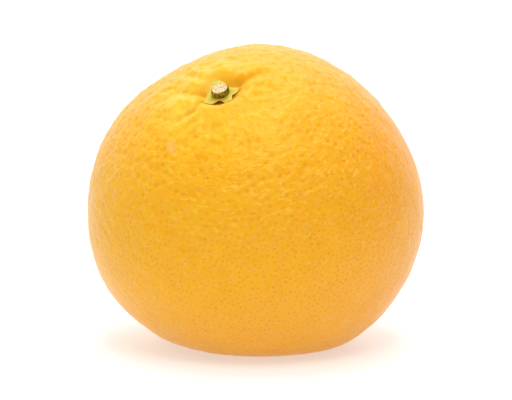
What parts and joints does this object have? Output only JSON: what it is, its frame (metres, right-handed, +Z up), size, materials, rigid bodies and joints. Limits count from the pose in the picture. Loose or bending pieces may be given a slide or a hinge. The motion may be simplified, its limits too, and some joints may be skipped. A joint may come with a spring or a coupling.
{
  "type": "orange",
  "caption": "Round orange fruit at rest on a small flat spot, with a puckered stem basin, a star-shaped calyx and a short cut stem stub. It lies on any level surface.",
  "frame": {"origin": "on the resting surface, under the middle of the fruit's box", "axes": "+Z up, away from the resting surface; -Y is the front, which the stem end leans towards, with a smaller lean to -X; +X is the object's widest direction"},
  "size_m": [0.0814, 0.0786, 0.0725],
  "materials": {
    "rind": "waxy satin peel, finely pitted with oil glands",
    "calyx": "matt yellow-green dried sepals",
    "stem": "rough olive-brown bark with a pale cut end"
  },
  "bodies": {
    "root": {"fruit": "rind", "calyx": "calyx", "stem_stub": "stem"}
  },
  "joints": []
}
